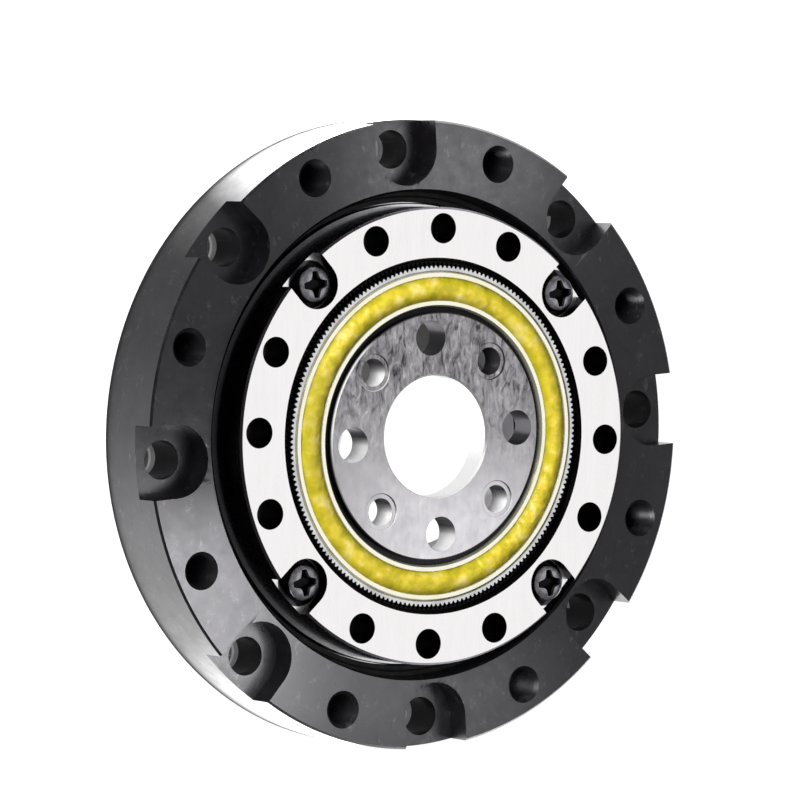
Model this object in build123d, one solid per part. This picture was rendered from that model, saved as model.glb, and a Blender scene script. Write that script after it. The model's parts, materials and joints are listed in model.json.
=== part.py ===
from build123d import *
import os
from math import cos, pi, radians, sin, sqrt

# Strain wave gear unit with a hat-shaped flexspline and a crossed roller bearing.
# All sizes are millimetres. The axis is +Z, the back face lies on Z = 0 and +X runs
# through one tapped hole of the circular spline, which is the output.

# Teeth. The pitch radius of the flexspline drives every other radius, from inside to out.
FLEX_TEETH = 200
RIGID_TEETH = FLEX_TEETH + 2
PITCH_R = 13.97
MODULE = 2 * PITCH_R / FLEX_TEETH
ADDENDUM = 0.57 * MODULE
TOOTH_HEIGHT = 1.65 * MODULE
TOOTH_ENGAGEMENT = 1.15 * MODULE
TIP_CLEARANCE = 0.72 * MODULE
FLEX_TIP_LAND = 0.24
RIGID_TIP_LAND = 0.18

# Widths of what lies between one radius and the next, from inside to out
TEETH_TO_OUTPUT_HOLES = 3.13
OUTPUT_HOLES_TO_EDGE = 1.75
SEAL_LAND_STEP = 0.28
SEAL_LAND_WIDTH = 0.77
RING_GAP = 0.2
BORE_TO_BOLTS = 3.5
BOLTS_TO_RIM = 2.4

# Radii that follow each other outwards by those widths
OUTPUT_CIRCLE_R = PITCH_R + TEETH_TO_OUTPUT_HOLES
SPLINE_R = OUTPUT_CIRCLE_R + OUTPUT_HOLES_TO_EDGE
SEAL_LAND_R = SPLINE_R + SEAL_LAND_STEP
INNER_RING_R = SEAL_LAND_R + SEAL_LAND_WIDTH
RING_BORE_R = INNER_RING_R + RING_GAP
BOLT_CIRCLE_R = RING_BORE_R + BORE_TO_BOLTS
RING_R = BOLT_CIRCLE_R + BOLTS_TO_RIM

# Outer ring of the crossed roller bearing, which is also the housing
RING_THICKNESS = 7.2
RING_CHAMFER = 0.3
RING_TURN = 6.0  # the ring and the hub stand this many degrees ahead of the output
BOLT_COUNT = 8
BOLT_HOLE_R = 1.6
BOLT_POCKET_R = 3.0
BOLT_POCKET_DEPTH = 2.35
RING_TAP_R = 1.25
RING_TAP_DEPTH = 4.5

# Crossed rollers, with their axes leaning 45 degrees inwards and outwards by turns
ROLLER_R = 1.0
ROLLER_LENGTH = 1.9
ROLLER_COUNT = 36
ROLLER_SIDES = 8
ROLLER_Z = 2.95
RACE_CLEARANCE = 0.02
SPACER_THICKNESS = 1.3
SPACER_WIDTH = 1.75

# Inner ring of the crossed roller bearing
INNER_RING_SETBACK = 0.93
INNER_RING_BORE_R = PITCH_R + INNER_RING_SETBACK
INNER_RING_BOTTOM_Z = 1.6
INNER_RING_TOP_Z = 5.3
SHOULDER_Z = 4.35

# Seal between the two bearing rings
SEAL_BOTTOM_Z = 4.45
SEAL_HEIGHT = 0.65
SEAL_BODY_REACH = 0.5
SEAL_LIP_CLEARANCE = 0.06

# Plug that closes the hole through which the rollers are filled, and its pin
PLUG_R = 1.45
PLUG_TURN = RING_TURN - 180 / BOLT_COUNT / 2
PIN_R = 0.5
PIN_LENGTH = 4.0

# Wave: how far the generator pushes the flexspline out along its long axis
WAVE_HEIGHT = 1.29 * MODULE
WAVE_TURN = RING_TURN + 45.0

# Circular spline, the output ring
SPLINE_PROUD = 2.2
SPLINE_MOUTH = 0.3
OUTPUT_POSITIONS = 16
OUTPUT_HOLE_R = 1.2
SCREW_POCKET_R = 2.0
SCREW_POCKET_DEPTH = 1.2
SCREW_HOLE_R = 0.9
SCREW_R = 0.8
SCREW_HEAD_R = 1.5
SCREW_HEAD_HEIGHT = 1.1
SCREW_LENGTH = 5.5
SCREW_SIDES = 12

# Flexspline
FLEX_FRONT_GAP = 0.15
FLEX_RIM_WALL = 0.24
FLEX_BARREL_WALL = 0.2
FLEX_RIM_BOTTOM_Z = 5.2
DIAPHRAGM_Z = 0.25
DIAPHRAGM_THICKNESS = 0.25
DIAPHRAGM_TAPER = 0.8
HAT_CORNER = 0.7
FLANGE_SETBACK = 1.1
FLANGE_WIDTH = 5.7
FLANGE_R = RING_R - FLANGE_SETBACK
DIAPHRAGM_R = FLANGE_R - FLANGE_WIDTH
FLANGE_THICKNESS = 1.2
FLANGE_HOLE_CLEARANCE = 0.1
FLANGE_SCREW_COUNT = 4
FLANGE_SCREW_INSET = 2.0
FLANGE_SCREW_CIRCLE_R = FLANGE_R - FLANGE_SCREW_INSET
FLANGE_SCREW_R = 1.0
FLANGE_SCREW_HEAD_R = 1.75
FLANGE_SCREW_LENGTH = 4.0

# Flexible ball bearing
BEARING_WIDTH = 4.2
BEARING_FRONT_GAP = 0.1
BALL_R = 1.05
BALL_COUNT = 23
BALL_SIDES = 8
BALL_CLEARANCE = 0.01
OUTER_RACE_LIP = 0.3
INNER_RACE_LIP = 0.3
RACE_WALL = 0.24
CAGE_WALL_GAP = 0.08
CAGE_BOTTOM_GAP = 0.25
CAGE_RISE = 0.7
POCKET_CLEARANCE = 0.07
GREASE_GAP = 0.05
GREASE_HEIGHT = 0.75
GREASE_SINK = 0.15

# Wave generator hub
HUB_BORE_R = 5.0
HUB_FACE_STEP = 0.44
HUB_STEP_HEIGHT = 0.5
HUB_WEB = 2.4
HUB_RIM = 1.1
HUB_SHOULDER = 0.5
HUB_SHOULDER_REACH = 0.4
HUB_BORE_TO_HOLES = 3.1
HUB_CIRCLE_R = HUB_BORE_R + HUB_BORE_TO_HOLES
HUB_HOLE_COUNT = 4
HUB_CLEAR_HOLE_R = 1.45
HUB_TAP_R = 1.15

# Pieces that seat on each other are this far apart
SEAT = 0.01
# Cutting tools run this far past the faces that they cut
OVERRUN = 1.0

# Sizes worked out from the ones above
FRONT_Z = RING_THICKNESS + SPLINE_PROUD
POCKET_FLOOR_Z = RING_THICKNESS - BOLT_POCKET_DEPTH
FLEX_TIP_R = PITCH_R + ADDENDUM
FLEX_ROOT_R = FLEX_TIP_R - TOOTH_HEIGHT
FLEX_INNER_R = FLEX_ROOT_R - FLEX_RIM_WALL
FLEX_FRONT_Z = FRONT_Z - FLEX_FRONT_GAP
BARREL_R = FLEX_INNER_R + FLEX_BARREL_WALL
RIGID_TIP_R = FLEX_TIP_R + WAVE_HEIGHT - TOOTH_ENGAGEMENT
RIGID_ROOT_R = FLEX_TIP_R + WAVE_HEIGHT + TIP_CLEARANCE
BEARING_TOP_Z = FRONT_Z - BEARING_FRONT_GAP
BEARING_BOTTOM_Z = BEARING_TOP_Z - BEARING_WIDTH
BALL_Z = (BEARING_TOP_Z + BEARING_BOTTOM_Z) / 2
OUTER_RACE_R = FLEX_INNER_R - SEAT
OUTER_GROOVE_R = OUTER_RACE_R - RACE_WALL
OUTER_LIP_R = OUTER_GROOVE_R - OUTER_RACE_LIP
BALL_CIRCLE_R = OUTER_GROOVE_R - WAVE_HEIGHT - BALL_R - BALL_CLEARANCE
INNER_GROOVE_R = BALL_CIRCLE_R - BALL_R - BALL_CLEARANCE - WAVE_HEIGHT
INNER_LIP_R = INNER_GROOVE_R + INNER_RACE_LIP
PLUG_SEAT_R = INNER_GROOVE_R - RACE_WALL
HAT_CORNER_Z = DIAPHRAGM_Z + DIAPHRAGM_THICKNESS + HAT_CORNER
ROLLER_CIRCLE_R = RING_BORE_R - RING_GAP / 2
GROOVE_REACH = (ROLLER_R + RACE_CLEARANCE) * sqrt(2)
GROOVE_HALF_MOUTH = GROOVE_REACH - RING_GAP / 2
TOP_FACE_STEP = 360 / OUTPUT_POSITIONS


def turned(x, angle, z=0.0):
    """A place at radius x, turned about the axis."""
    return Rot(0, 0, angle) * Pos(x, 0, z)


def bar(radius, bottom, top):
    """A round bar on the axis, from one height to another."""
    return Pos(0, 0, bottom) * extrude(Circle(radius), amount=top - bottom)


def few_sided_bar(radius, bottom, top):
    """A bar with a few flat sides, for small round things that come many times."""
    return Pos(0, 0, bottom) * extrude(RegularPolygon(radius, SCREW_SIDES), amount=top - bottom)


def turned_body(points):
    """A body of revolution from its half section, given as (radius, height) points."""
    section = make_face(Polyline(*[(r, 0, z) for r, z in points], close=True))
    return revolve(section, axis=Axis.Z)


def oval(radius, z):
    """The outline that a circle takes when the wave generator spreads it."""
    shape = Ellipse(radius + WAVE_HEIGHT, radius - WAVE_HEIGHT)
    return Pos(0, 0, z) * Rot(0, 0, WAVE_TURN) * shape


def oval_body(levels):
    """A solid oval stack: straight where two levels have one radius, tapered elsewhere."""
    body = None
    for (low_z, low_r), (high_z, high_r) in zip(levels, levels[1:]):
        if low_r == high_r:
            piece = extrude(oval(low_r, low_z), amount=high_z - low_z)
        else:
            piece = loft([oval(low_r, low_z), oval(high_r, high_z)], ruled=True)
        body = piece if body is None else body + piece
    return body


def screw_places():
    """Angles of the four screws that hold the circular spline."""
    return [TOP_FACE_STEP * (2 + 4 * k) for k in range(OUTPUT_POSITIONS // 4)]


def output_hole_places():
    """Angles of the tapped output holes, on the positions that the screws leave free."""
    every = [TOP_FACE_STEP * k for k in range(OUTPUT_POSITIONS)]
    return [angle for angle in every if angle not in screw_places()]


def flange_screw_places():
    """Angles of the screws that hold the flexspline's flange to the outer ring."""
    first = RING_TURN + 180 / BOLT_COUNT / 2
    return [first + 360 / FLANGE_SCREW_COUNT * k for k in range(FLANGE_SCREW_COUNT)]


def bearing_ring_blank():
    """The outer ring before its holes: V groove inside, flange recess at the back."""
    return turned_body(
        [
            (RING_BORE_R, FLANGE_THICKNESS),
            (RING_BORE_R, ROLLER_Z - GROOVE_HALF_MOUTH),
            (ROLLER_CIRCLE_R + GROOVE_REACH, ROLLER_Z),
            (RING_BORE_R, ROLLER_Z + GROOVE_HALF_MOUTH),
            (RING_BORE_R, RING_THICKNESS),
            (RING_R - RING_CHAMFER, RING_THICKNESS),
            (RING_R, RING_THICKNESS - RING_CHAMFER),
            (RING_R, RING_CHAMFER),
            (RING_R - RING_CHAMFER, 0),
            (FLANGE_R + SEAT, 0),
            (FLANGE_R + SEAT, FLANGE_THICKNESS),
        ]
    )


def filling_bar(radius):
    """A radial bar through the wall of the outer ring at the rollers' height."""
    start = RING_BORE_R - OVERRUN
    bar_shape = extrude(Plane.YZ * Circle(radius), amount=RING_R - start + OVERRUN)
    return turned(start, PLUG_TURN, ROLLER_Z) * bar_shape


def plug_pin_bar(radius):
    """The pin's own shape, standing up from the floor of the flange recess."""
    height = FLANGE_THICKNESS
    return turned(BOLT_CIRCLE_R, PLUG_TURN) * bar(radius, height, height + PIN_LENGTH)


def outer_ring():
    """The black ring, with bolt holes in open pockets and tapped holes between them."""
    cuts = [filling_bar(PLUG_R + SEAT), plug_pin_bar(PIN_R + SEAT)]
    step = 360 / BOLT_COUNT
    reach = RING_R - BOLT_CIRCLE_R + OVERRUN
    for k in range(BOLT_COUNT):
        angle = RING_TURN + step * k
        cuts.append(turned(BOLT_CIRCLE_R, angle) * bar(BOLT_HOLE_R, 0, RING_THICKNESS))
        mouth = Circle(BOLT_POCKET_R) + Pos(reach / 2, 0) * Rectangle(reach, 2 * BOLT_POCKET_R)
        pocket = extrude(mouth, amount=BOLT_POCKET_DEPTH + OVERRUN)
        cuts.append(turned(BOLT_CIRCLE_R, angle, POCKET_FLOOR_Z) * pocket)
        tap = bar(RING_TAP_R, RING_THICKNESS - RING_TAP_DEPTH, RING_THICKNESS)
        cuts.append(turned(BOLT_CIRCLE_R, angle + step / 2) * tap)
    for angle in flange_screw_places():
        thread = few_sided_bar(FLANGE_SCREW_R + SEAT, 0, FLANGE_SCREW_LENGTH + SEAT)
        cuts.append(turned(FLANGE_SCREW_CIRCLE_R, angle) * thread)
    return bearing_ring_blank() - cuts


def filling_plug():
    """The plug, flush with the rim outside and carrying on the V groove inside."""
    return (filling_bar(PLUG_R) & bearing_ring_blank()) - plug_pin_bar(PIN_R + SEAT)


def inner_ring():
    """The bearing's inner ring, which carries the circular spline."""
    ring = turned_body(
        [
            (INNER_RING_BORE_R, INNER_RING_BOTTOM_Z),
            (INNER_RING_R, INNER_RING_BOTTOM_Z),
            (INNER_RING_R, ROLLER_Z - GROOVE_HALF_MOUTH),
            (ROLLER_CIRCLE_R - GROOVE_REACH, ROLLER_Z),
            (INNER_RING_R, ROLLER_Z + GROOVE_HALF_MOUTH),
            (INNER_RING_R, SHOULDER_Z),
            (SEAL_LAND_R, SHOULDER_Z),
            (SEAL_LAND_R, INNER_RING_TOP_Z),
            (INNER_RING_BORE_R, INNER_RING_TOP_Z),
        ]
    )
    end = FRONT_Z - SCREW_POCKET_DEPTH - SCREW_LENGTH - SEAT
    threads = []
    for angle in screw_places():
        thread = few_sided_bar(SCREW_R + SEAT, end, INNER_RING_TOP_Z)
        threads.append(turned(OUTPUT_CIRCLE_R, angle) * thread)
    return ring - threads


def oil_seal():
    """The rubber seal in the outer ring's bore, with a lip that runs on the inner ring."""
    outside = RING_BORE_R - SEAT
    top = SEAL_BOTTOM_Z + SEAL_HEIGHT
    return turned_body(
        [
            (outside, SEAL_BOTTOM_Z),
            (outside, top),
            (outside - SEAL_BODY_REACH, top),
            (SEAL_LAND_R + SEAL_LIP_CLEARANCE, SEAL_BOTTOM_Z + SEAL_HEIGHT / 2),
            (outside - SEAL_BODY_REACH, SEAL_BOTTOM_Z),
        ]
    )


def leaning_roller(lean):
    """One roller at the origin, its axis in the XZ plane at this angle from Z."""
    face = RegularPolygon(ROLLER_R, ROLLER_SIDES)
    blank = Pos(0, 0, -ROLLER_LENGTH / 2) * extrude(face, amount=ROLLER_LENGTH)
    return Rot(0, lean, 0) * blank


def crossed_rollers(first, lean):
    """Every second roller, starting from this position."""
    roller = leaning_roller(lean)
    step = 360 / ROLLER_COUNT
    places = range(first, ROLLER_COUNT, 2)
    return Compound(
        children=[turned(ROLLER_CIRCLE_R, step * k, ROLLER_Z) * roller for k in places]
    )


def roller_spacers():
    """Square blocks between the rollers, which keep them in their places."""
    block = Rot(0, 45, 0) * Box(SPACER_WIDTH, SPACER_THICKNESS, SPACER_WIDTH)
    step = 360 / ROLLER_COUNT
    return Compound(
        children=[
            turned(ROLLER_CIRCLE_R, step * (k + 0.5), ROLLER_Z) * block
            for k in range(ROLLER_COUNT)
        ]
    )


def tooth_outline(teeth, first_turn, steps, place):
    """A closed outline of equal teeth. Each step is (share of a pitch, radius)."""
    points = []
    pitch = 2 * pi / teeth
    for k in range(teeth):
        for share, radius in steps:
            points.append(place(radius, pitch * (k + share), first_turn))
    return make_face(Polyline(*points, close=True))


def round_place(radius, angle, first_turn):
    """A point of a rigid ring."""
    whole = angle + radians(first_turn)
    return (radius * cos(whole), radius * sin(whole))


def waved_place(radius, angle, first_turn):
    """The same point on the flexspline: pushed out along the long axis, and slid along
    the rim so that the rim keeps its length."""
    pushed = radius + WAVE_HEIGHT * cos(2 * angle)
    slid = angle - WAVE_HEIGHT / (2 * radius) * sin(2 * angle)
    return round_place(pushed, slid, first_turn)


def circular_spline():
    """The silver output ring with its internal teeth, holes and screw pockets."""
    bottom = INNER_RING_TOP_Z
    mouth_z = FRONT_Z - SPLINE_MOUTH
    half_land = RIGID_TIP_LAND / 2
    steps = [(0.5 - half_land, RIGID_TIP_R), (0.5 + half_land, RIGID_TIP_R), (1.0, RIGID_ROOT_R)]
    outline = tooth_outline(RIGID_TEETH, WAVE_TURN, steps, round_place)
    mouth = turned_body(
        [
            (0, mouth_z),
            (RIGID_ROOT_R + SPLINE_MOUTH / 10, mouth_z),
            (RIGID_ROOT_R + SPLINE_MOUTH, FRONT_Z),
            (0, FRONT_Z),
        ]
    )
    teeth = Pos(0, 0, bottom) * extrude(outline, amount=mouth_z - bottom)
    cuts = [teeth, mouth]
    for angle in output_hole_places():
        cuts.append(turned(OUTPUT_CIRCLE_R, angle) * bar(OUTPUT_HOLE_R, bottom, FRONT_Z))
    reach = SPLINE_R - OUTPUT_CIRCLE_R + OVERRUN
    floor = FRONT_Z - SCREW_POCKET_DEPTH
    slot = Circle(SCREW_POCKET_R) + Pos(reach / 2, 0) * Rectangle(reach, 2 * SCREW_POCKET_R)
    pocket = extrude(slot, amount=SCREW_POCKET_DEPTH)
    for angle in screw_places():
        cuts.append(turned(OUTPUT_CIRCLE_R, angle, floor) * pocket)
        cuts.append(turned(OUTPUT_CIRCLE_R, angle) * few_sided_bar(SCREW_HOLE_R, bottom, floor))
    return bar(SPLINE_R, bottom, FRONT_Z) - cuts


def spline_screws():
    """Four pan head screws from the circular spline into the inner ring."""
    seat_z = FRONT_Z - SCREW_POCKET_DEPTH
    shank = few_sided_bar(SCREW_R, seat_z - SCREW_LENGTH, seat_z)
    screw = shank + few_sided_bar(SCREW_HEAD_R, seat_z, seat_z + SCREW_HEAD_HEIGHT)
    return Compound(children=[turned(OUTPUT_CIRCLE_R, a) * screw for a in screw_places()])


def flexspline_rim():
    """The toothed rim in the shape that the wave generator gives it."""
    half_land = FLEX_TIP_LAND / 2
    steps = [(-half_land, FLEX_TIP_R), (half_land, FLEX_TIP_R), (0.5, FLEX_ROOT_R)]
    outline = tooth_outline(FLEX_TEETH, WAVE_TURN, steps, waved_place)
    height = FLEX_FRONT_Z - FLEX_RIM_BOTTOM_Z
    return Pos(0, 0, FLEX_RIM_BOTTOM_Z) * extrude(outline, amount=height)


def flexspline_brim():
    """The round back of the hat: corner, thin diaphragm and thick flange."""
    top = DIAPHRAGM_Z + DIAPHRAGM_THICKNESS
    return turned_body(
        [
            (FLEX_INNER_R, HAT_CORNER_Z),
            (FLEX_INNER_R, DIAPHRAGM_Z + HAT_CORNER),
            (FLEX_INNER_R + HAT_CORNER, DIAPHRAGM_Z),
            (DIAPHRAGM_R, DIAPHRAGM_Z),
            (DIAPHRAGM_R, 0),
            (FLANGE_R, 0),
            (FLANGE_R, FLANGE_THICKNESS),
            (DIAPHRAGM_R + 2 * DIAPHRAGM_TAPER, FLANGE_THICKNESS),
            (DIAPHRAGM_R + DIAPHRAGM_TAPER, top),
            (BARREL_R + HAT_CORNER, top),
            (BARREL_R, HAT_CORNER_Z),
        ]
    )


def flexspline():
    """The thin hat: toothed rim, barrel that turns from oval to round, and brim."""
    corner = Pos(0, 0, HAT_CORNER_Z)
    outside = loft([oval(BARREL_R, FLEX_RIM_BOTTOM_Z), corner * Circle(BARREL_R)], ruled=True)
    hollow = loft([oval(FLEX_INNER_R, FLEX_RIM_BOTTOM_Z), corner * Circle(FLEX_INNER_R)], ruled=True)
    height = FLEX_FRONT_Z - FLEX_RIM_BOTTOM_Z
    rim_hollow = extrude(oval(FLEX_INNER_R, FLEX_RIM_BOTTOM_Z), amount=height)
    hat = (flexspline_rim() + outside) - [hollow, rim_hollow] + flexspline_brim()
    cuts = []
    for k in range(BOLT_COUNT):
        angle = RING_TURN + 360 / BOLT_COUNT * k
        hole = few_sided_bar(BOLT_HOLE_R + FLANGE_HOLE_CLEARANCE, 0, FLANGE_THICKNESS)
        cuts.append(turned(BOLT_CIRCLE_R, angle) * hole)
    for angle in flange_screw_places():
        cuts.append(turned(FLANGE_SCREW_CIRCLE_R, angle) * flange_screw_body(SEAT))
    return hat - cuts


def flange_screw_body(gap):
    """A countersunk screw from the back face, made larger all round by this gap."""
    head = RegularPolygon(FLANGE_SCREW_HEAD_R + gap, SCREW_SIDES)
    cone = extrude(head, amount=FLANGE_SCREW_HEAD_R - FLANGE_SCREW_R, taper=45)
    return cone + few_sided_bar(FLANGE_SCREW_R + gap, 0, FLANGE_SCREW_LENGTH)


def flange_screws():
    """The countersunk screws that hold the flexspline to the outer ring."""
    screw = flange_screw_body(0)
    radius = FLANGE_SCREW_CIRCLE_R
    return Compound(children=[turned(radius, a) * screw for a in flange_screw_places()])


def bearing_outer_race():
    """The thin outer race, which bends with the flexspline round it."""
    outside = [(BEARING_BOTTOM_Z, OUTER_RACE_R), (BEARING_TOP_Z, OUTER_RACE_R)]
    groove = [
        (BEARING_BOTTOM_Z, OUTER_LIP_R),
        (BALL_Z, OUTER_GROOVE_R),
        (BEARING_TOP_Z, OUTER_LIP_R),
    ]
    return oval_body(outside) - oval_body(groove)


def bearing_inner_race():
    """The inner race, stretched over the hub's oval seat."""
    groove = [
        (BEARING_BOTTOM_Z, INNER_LIP_R),
        (BALL_Z, INNER_GROOVE_R),
        (BEARING_TOP_Z, INNER_LIP_R),
    ]
    bore = [(BEARING_BOTTOM_Z, PLUG_SEAT_R), (BEARING_TOP_Z, PLUG_SEAT_R)]
    return oval_body(groove) - oval_body(bore)


def ball():
    """One ball at the origin. Its few facets stay inside a sphere, so the set is light."""
    belt = radians(180 / BALL_SIDES)
    belt_r = BALL_R * cos(belt)
    belt_z = BALL_R * sin(belt)
    face = RegularPolygon(belt_r, BALL_SIDES)
    middle = Pos(0, 0, -belt_z) * extrude(face, amount=2 * belt_z)
    cap = Pos(0, 0, belt_z) * extrude(face, amount=(belt_r - belt_z) * cos(belt), taper=45)
    return middle + [cap, mirror(cap, about=Plane.XY)]


def bearing_balls():
    """The balls of the flexible bearing."""
    step = 360 / BALL_COUNT
    one = ball()
    return Compound(
        children=[turned(BALL_CIRCLE_R, step * k, BALL_Z) * one for k in range(BALL_COUNT)]
    )


def ball_cage():
    """A crown cage: a plain ring with a pocket for each ball, open towards the front."""
    inner_r = INNER_LIP_R + WAVE_HEIGHT + CAGE_WALL_GAP
    outer_r = OUTER_LIP_R - WAVE_HEIGHT - CAGE_WALL_GAP
    bottom = BEARING_BOTTOM_Z + CAGE_BOTTOM_GAP
    top = BALL_Z + CAGE_RISE
    ring = bar(outer_r, bottom, top) - bar(inner_r, bottom, top)
    width = 2 * (BALL_R + POCKET_CLEARANCE)
    pocket = Box(outer_r - inner_r + 2 * OVERRUN, width, width)
    middle = (inner_r + outer_r) / 2
    step = 360 / BALL_COUNT
    return ring - [turned(middle, step * k, BALL_Z) * pocket for k in range(BALL_COUNT)]


def bearing_grease():
    """The packed grease that closes the front of the flexible bearing."""
    top = BEARING_TOP_Z - GREASE_SINK
    bottom = top - GREASE_HEIGHT
    outside = oval_body([(bottom, OUTER_LIP_R - GREASE_GAP), (top, OUTER_LIP_R - GREASE_GAP)])
    inside = oval_body([(bottom, INNER_LIP_R + GREASE_GAP), (top, INNER_LIP_R + GREASE_GAP)])
    return outside - inside


def generator_hub():
    """The oval plug of the wave generator, with a web that takes the motor's screws."""
    seat_r = PLUG_SEAT_R - SEAT
    seat_top = FRONT_Z - HUB_STEP_HEIGHT
    bottom = BEARING_BOTTOM_Z - HUB_SHOULDER
    shoulder_r = PLUG_SEAT_R + HUB_SHOULDER_REACH
    hub = oval_body([(BEARING_BOTTOM_Z, seat_r), (seat_top, seat_r)])
    hub += oval_body([(bottom, shoulder_r), (BEARING_BOTTOM_Z, shoulder_r)])
    hub += oval_body([(seat_top, seat_r - HUB_FACE_STEP), (FRONT_Z, seat_r - HUB_FACE_STEP)])
    web_bottom = FRONT_Z - HUB_WEB
    cuts = [bar(HUB_BORE_R, bottom, FRONT_Z), bar(seat_r - HUB_RIM, bottom, web_bottom)]
    step = 360 / HUB_HOLE_COUNT
    for k in range(HUB_HOLE_COUNT):
        angle = RING_TURN + step * k
        cuts.append(turned(HUB_CIRCLE_R, angle) * bar(HUB_CLEAR_HOLE_R, web_bottom, FRONT_Z))
        tap = bar(HUB_TAP_R, web_bottom, FRONT_Z)
        cuts.append(turned(HUB_CIRCLE_R, angle + step / 2) * tap)
    return hub - cuts


def main():
    """Write each piece to its own file."""
    os.makedirs("parts", exist_ok=True)
    pieces = {
        "outer_ring": outer_ring(),
        "filling_plug": filling_plug(),
        "plug_pin": plug_pin_bar(PIN_R),
        "oil_seal": oil_seal(),
        "inner_ring": inner_ring(),
        "crossed_rollers_inward": crossed_rollers(0, 45),
        "crossed_rollers_outward": crossed_rollers(1, -45),
        "roller_spacers": roller_spacers(),
        "circular_spline": circular_spline(),
        "spline_screws": spline_screws(),
        "flexspline": flexspline(),
        "flange_screws": flange_screws(),
        "bearing_outer_race": bearing_outer_race(),
        "bearing_inner_race": bearing_inner_race(),
        "bearing_balls": bearing_balls(),
        "ball_cage": ball_cage(),
        "bearing_grease": bearing_grease(),
        "generator_hub": generator_hub(),
    }
    for name, piece in pieces.items():
        export_step(piece, f"parts/{name}.step")
        print(name, len(piece.solids()), "solids", round(piece.volume, 2), "mm3")


main()
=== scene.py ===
# %% [markdown]
# The CAD model of the gear is loaded first and stays the reference for every size and place.
# What Blender adds is what the eye sees close up: fine teeth, chamfers, threads, grease and
# the finish of each metal. A refined piece takes the place of its CAD node, in the same frame.

# %% Load the frame
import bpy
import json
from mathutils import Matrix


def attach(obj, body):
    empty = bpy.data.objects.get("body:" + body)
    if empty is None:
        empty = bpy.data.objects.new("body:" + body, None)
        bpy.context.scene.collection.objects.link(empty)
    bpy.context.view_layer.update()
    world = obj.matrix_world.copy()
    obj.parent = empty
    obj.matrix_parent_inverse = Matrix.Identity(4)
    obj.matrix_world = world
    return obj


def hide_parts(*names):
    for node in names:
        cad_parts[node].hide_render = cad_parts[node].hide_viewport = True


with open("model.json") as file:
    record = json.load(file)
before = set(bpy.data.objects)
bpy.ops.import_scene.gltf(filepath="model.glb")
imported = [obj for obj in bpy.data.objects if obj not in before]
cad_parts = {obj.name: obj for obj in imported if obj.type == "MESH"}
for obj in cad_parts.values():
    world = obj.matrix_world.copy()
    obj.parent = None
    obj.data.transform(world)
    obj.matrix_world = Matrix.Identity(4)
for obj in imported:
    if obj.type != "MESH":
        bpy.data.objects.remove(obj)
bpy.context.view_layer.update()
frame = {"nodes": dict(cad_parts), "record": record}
print("nodes loaded:", len(frame["nodes"]))

# %% [markdown]
# The sizes below are those of the real gear in millimetres. Modelling in millimetres keeps
# the numbers readable; each finished piece is then scaled to metres, which the frame uses.

# %% Sizes of the gear in millimetres
import json
from math import cos, pi, radians, sin, sqrt, tanh

import bpy
from mathutils import Matrix, Vector

MM = 0.001  # one millimetre in metres
FRONT_Z = 9.4  # front faces of the bright ring and the hub
RING_R = 26.0  # outside of the black ring
RING_TOP_Z = 7.2  # its front face
RING_TURN = 6.0  # the turn of its pockets and of the hub's plain holes, in degrees
BOLT_R = 23.6  # circle of its pockets and tapped holes
GROOVE_Z = 2.95  # middle of the groove for the crossed rollers
PLUG_TURN = -5.25  # where the rollers are filled in, in degrees
OUTPUT_R = 17.1  # circle of the output holes and of the screws between them
FLANGE_R = 22.9  # circle of the flange screws at the back
FLANGE_TURN = 17.25  # the turn of the flange screws, in degrees
HUB_HOLE_R = 8.1  # circle of the hub's eight holes
WAVE_TURN = 51.0  # long axis of the oval, in degrees
WAVE = 0.1802  # how far the oval stands out on that axis
SPLINE_TEETH = 202
FLEX_TEETH = 200
print("one turn in:", round((SPLINE_TEETH - FLEX_TEETH) / SPLINE_TEETH, 5), "turns out")

# %% [markdown]
# Blender's operators work on what is selected, so the first helpers select one piece, make it
# from points and turn its faces outwards. A piece could also be modelled by hand in edit mode.
# The code does the same steps and can be run again when a size changes.


# %% Helpers that make a piece
def only(obj):
    """Makes obj the one selected and active object."""
    bpy.ops.object.select_all(action="DESELECT")
    obj.select_set(True)
    bpy.context.view_layer.objects.active = obj


def new_piece(name, points, faces):
    """A mesh object made from points and faces, selected and active."""
    mesh = bpy.data.meshes.new(name)
    mesh.from_pydata(points, [], faces)
    obj = bpy.data.objects.new(name, mesh)
    bpy.context.scene.collection.objects.link(obj)
    only(obj)
    return obj


def face_outwards(obj):
    """Turns every face of the active obj to the outside."""
    bpy.ops.object.mode_set(mode="EDIT")
    bpy.ops.mesh.select_all(action="SELECT")
    bpy.ops.mesh.normals_make_consistent(inside=False)
    bpy.ops.object.mode_set(mode="OBJECT")
    return obj


def rotate(obj, degrees):
    """Turns obj about the gear's axis and keeps the turn in its mesh."""
    only(obj)
    obj.rotation_euler = (0, 0, radians(degrees))
    bpy.ops.object.transform_apply(location=True, rotation=True, scale=True)


print("selecting and making ready")

# %% [markdown]
# Round pieces are turned on a lathe, so they are made that way here too: a circle is swept
# through a list of levels. Pockets have a flat outline instead, which is stood up into a prism.


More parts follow.
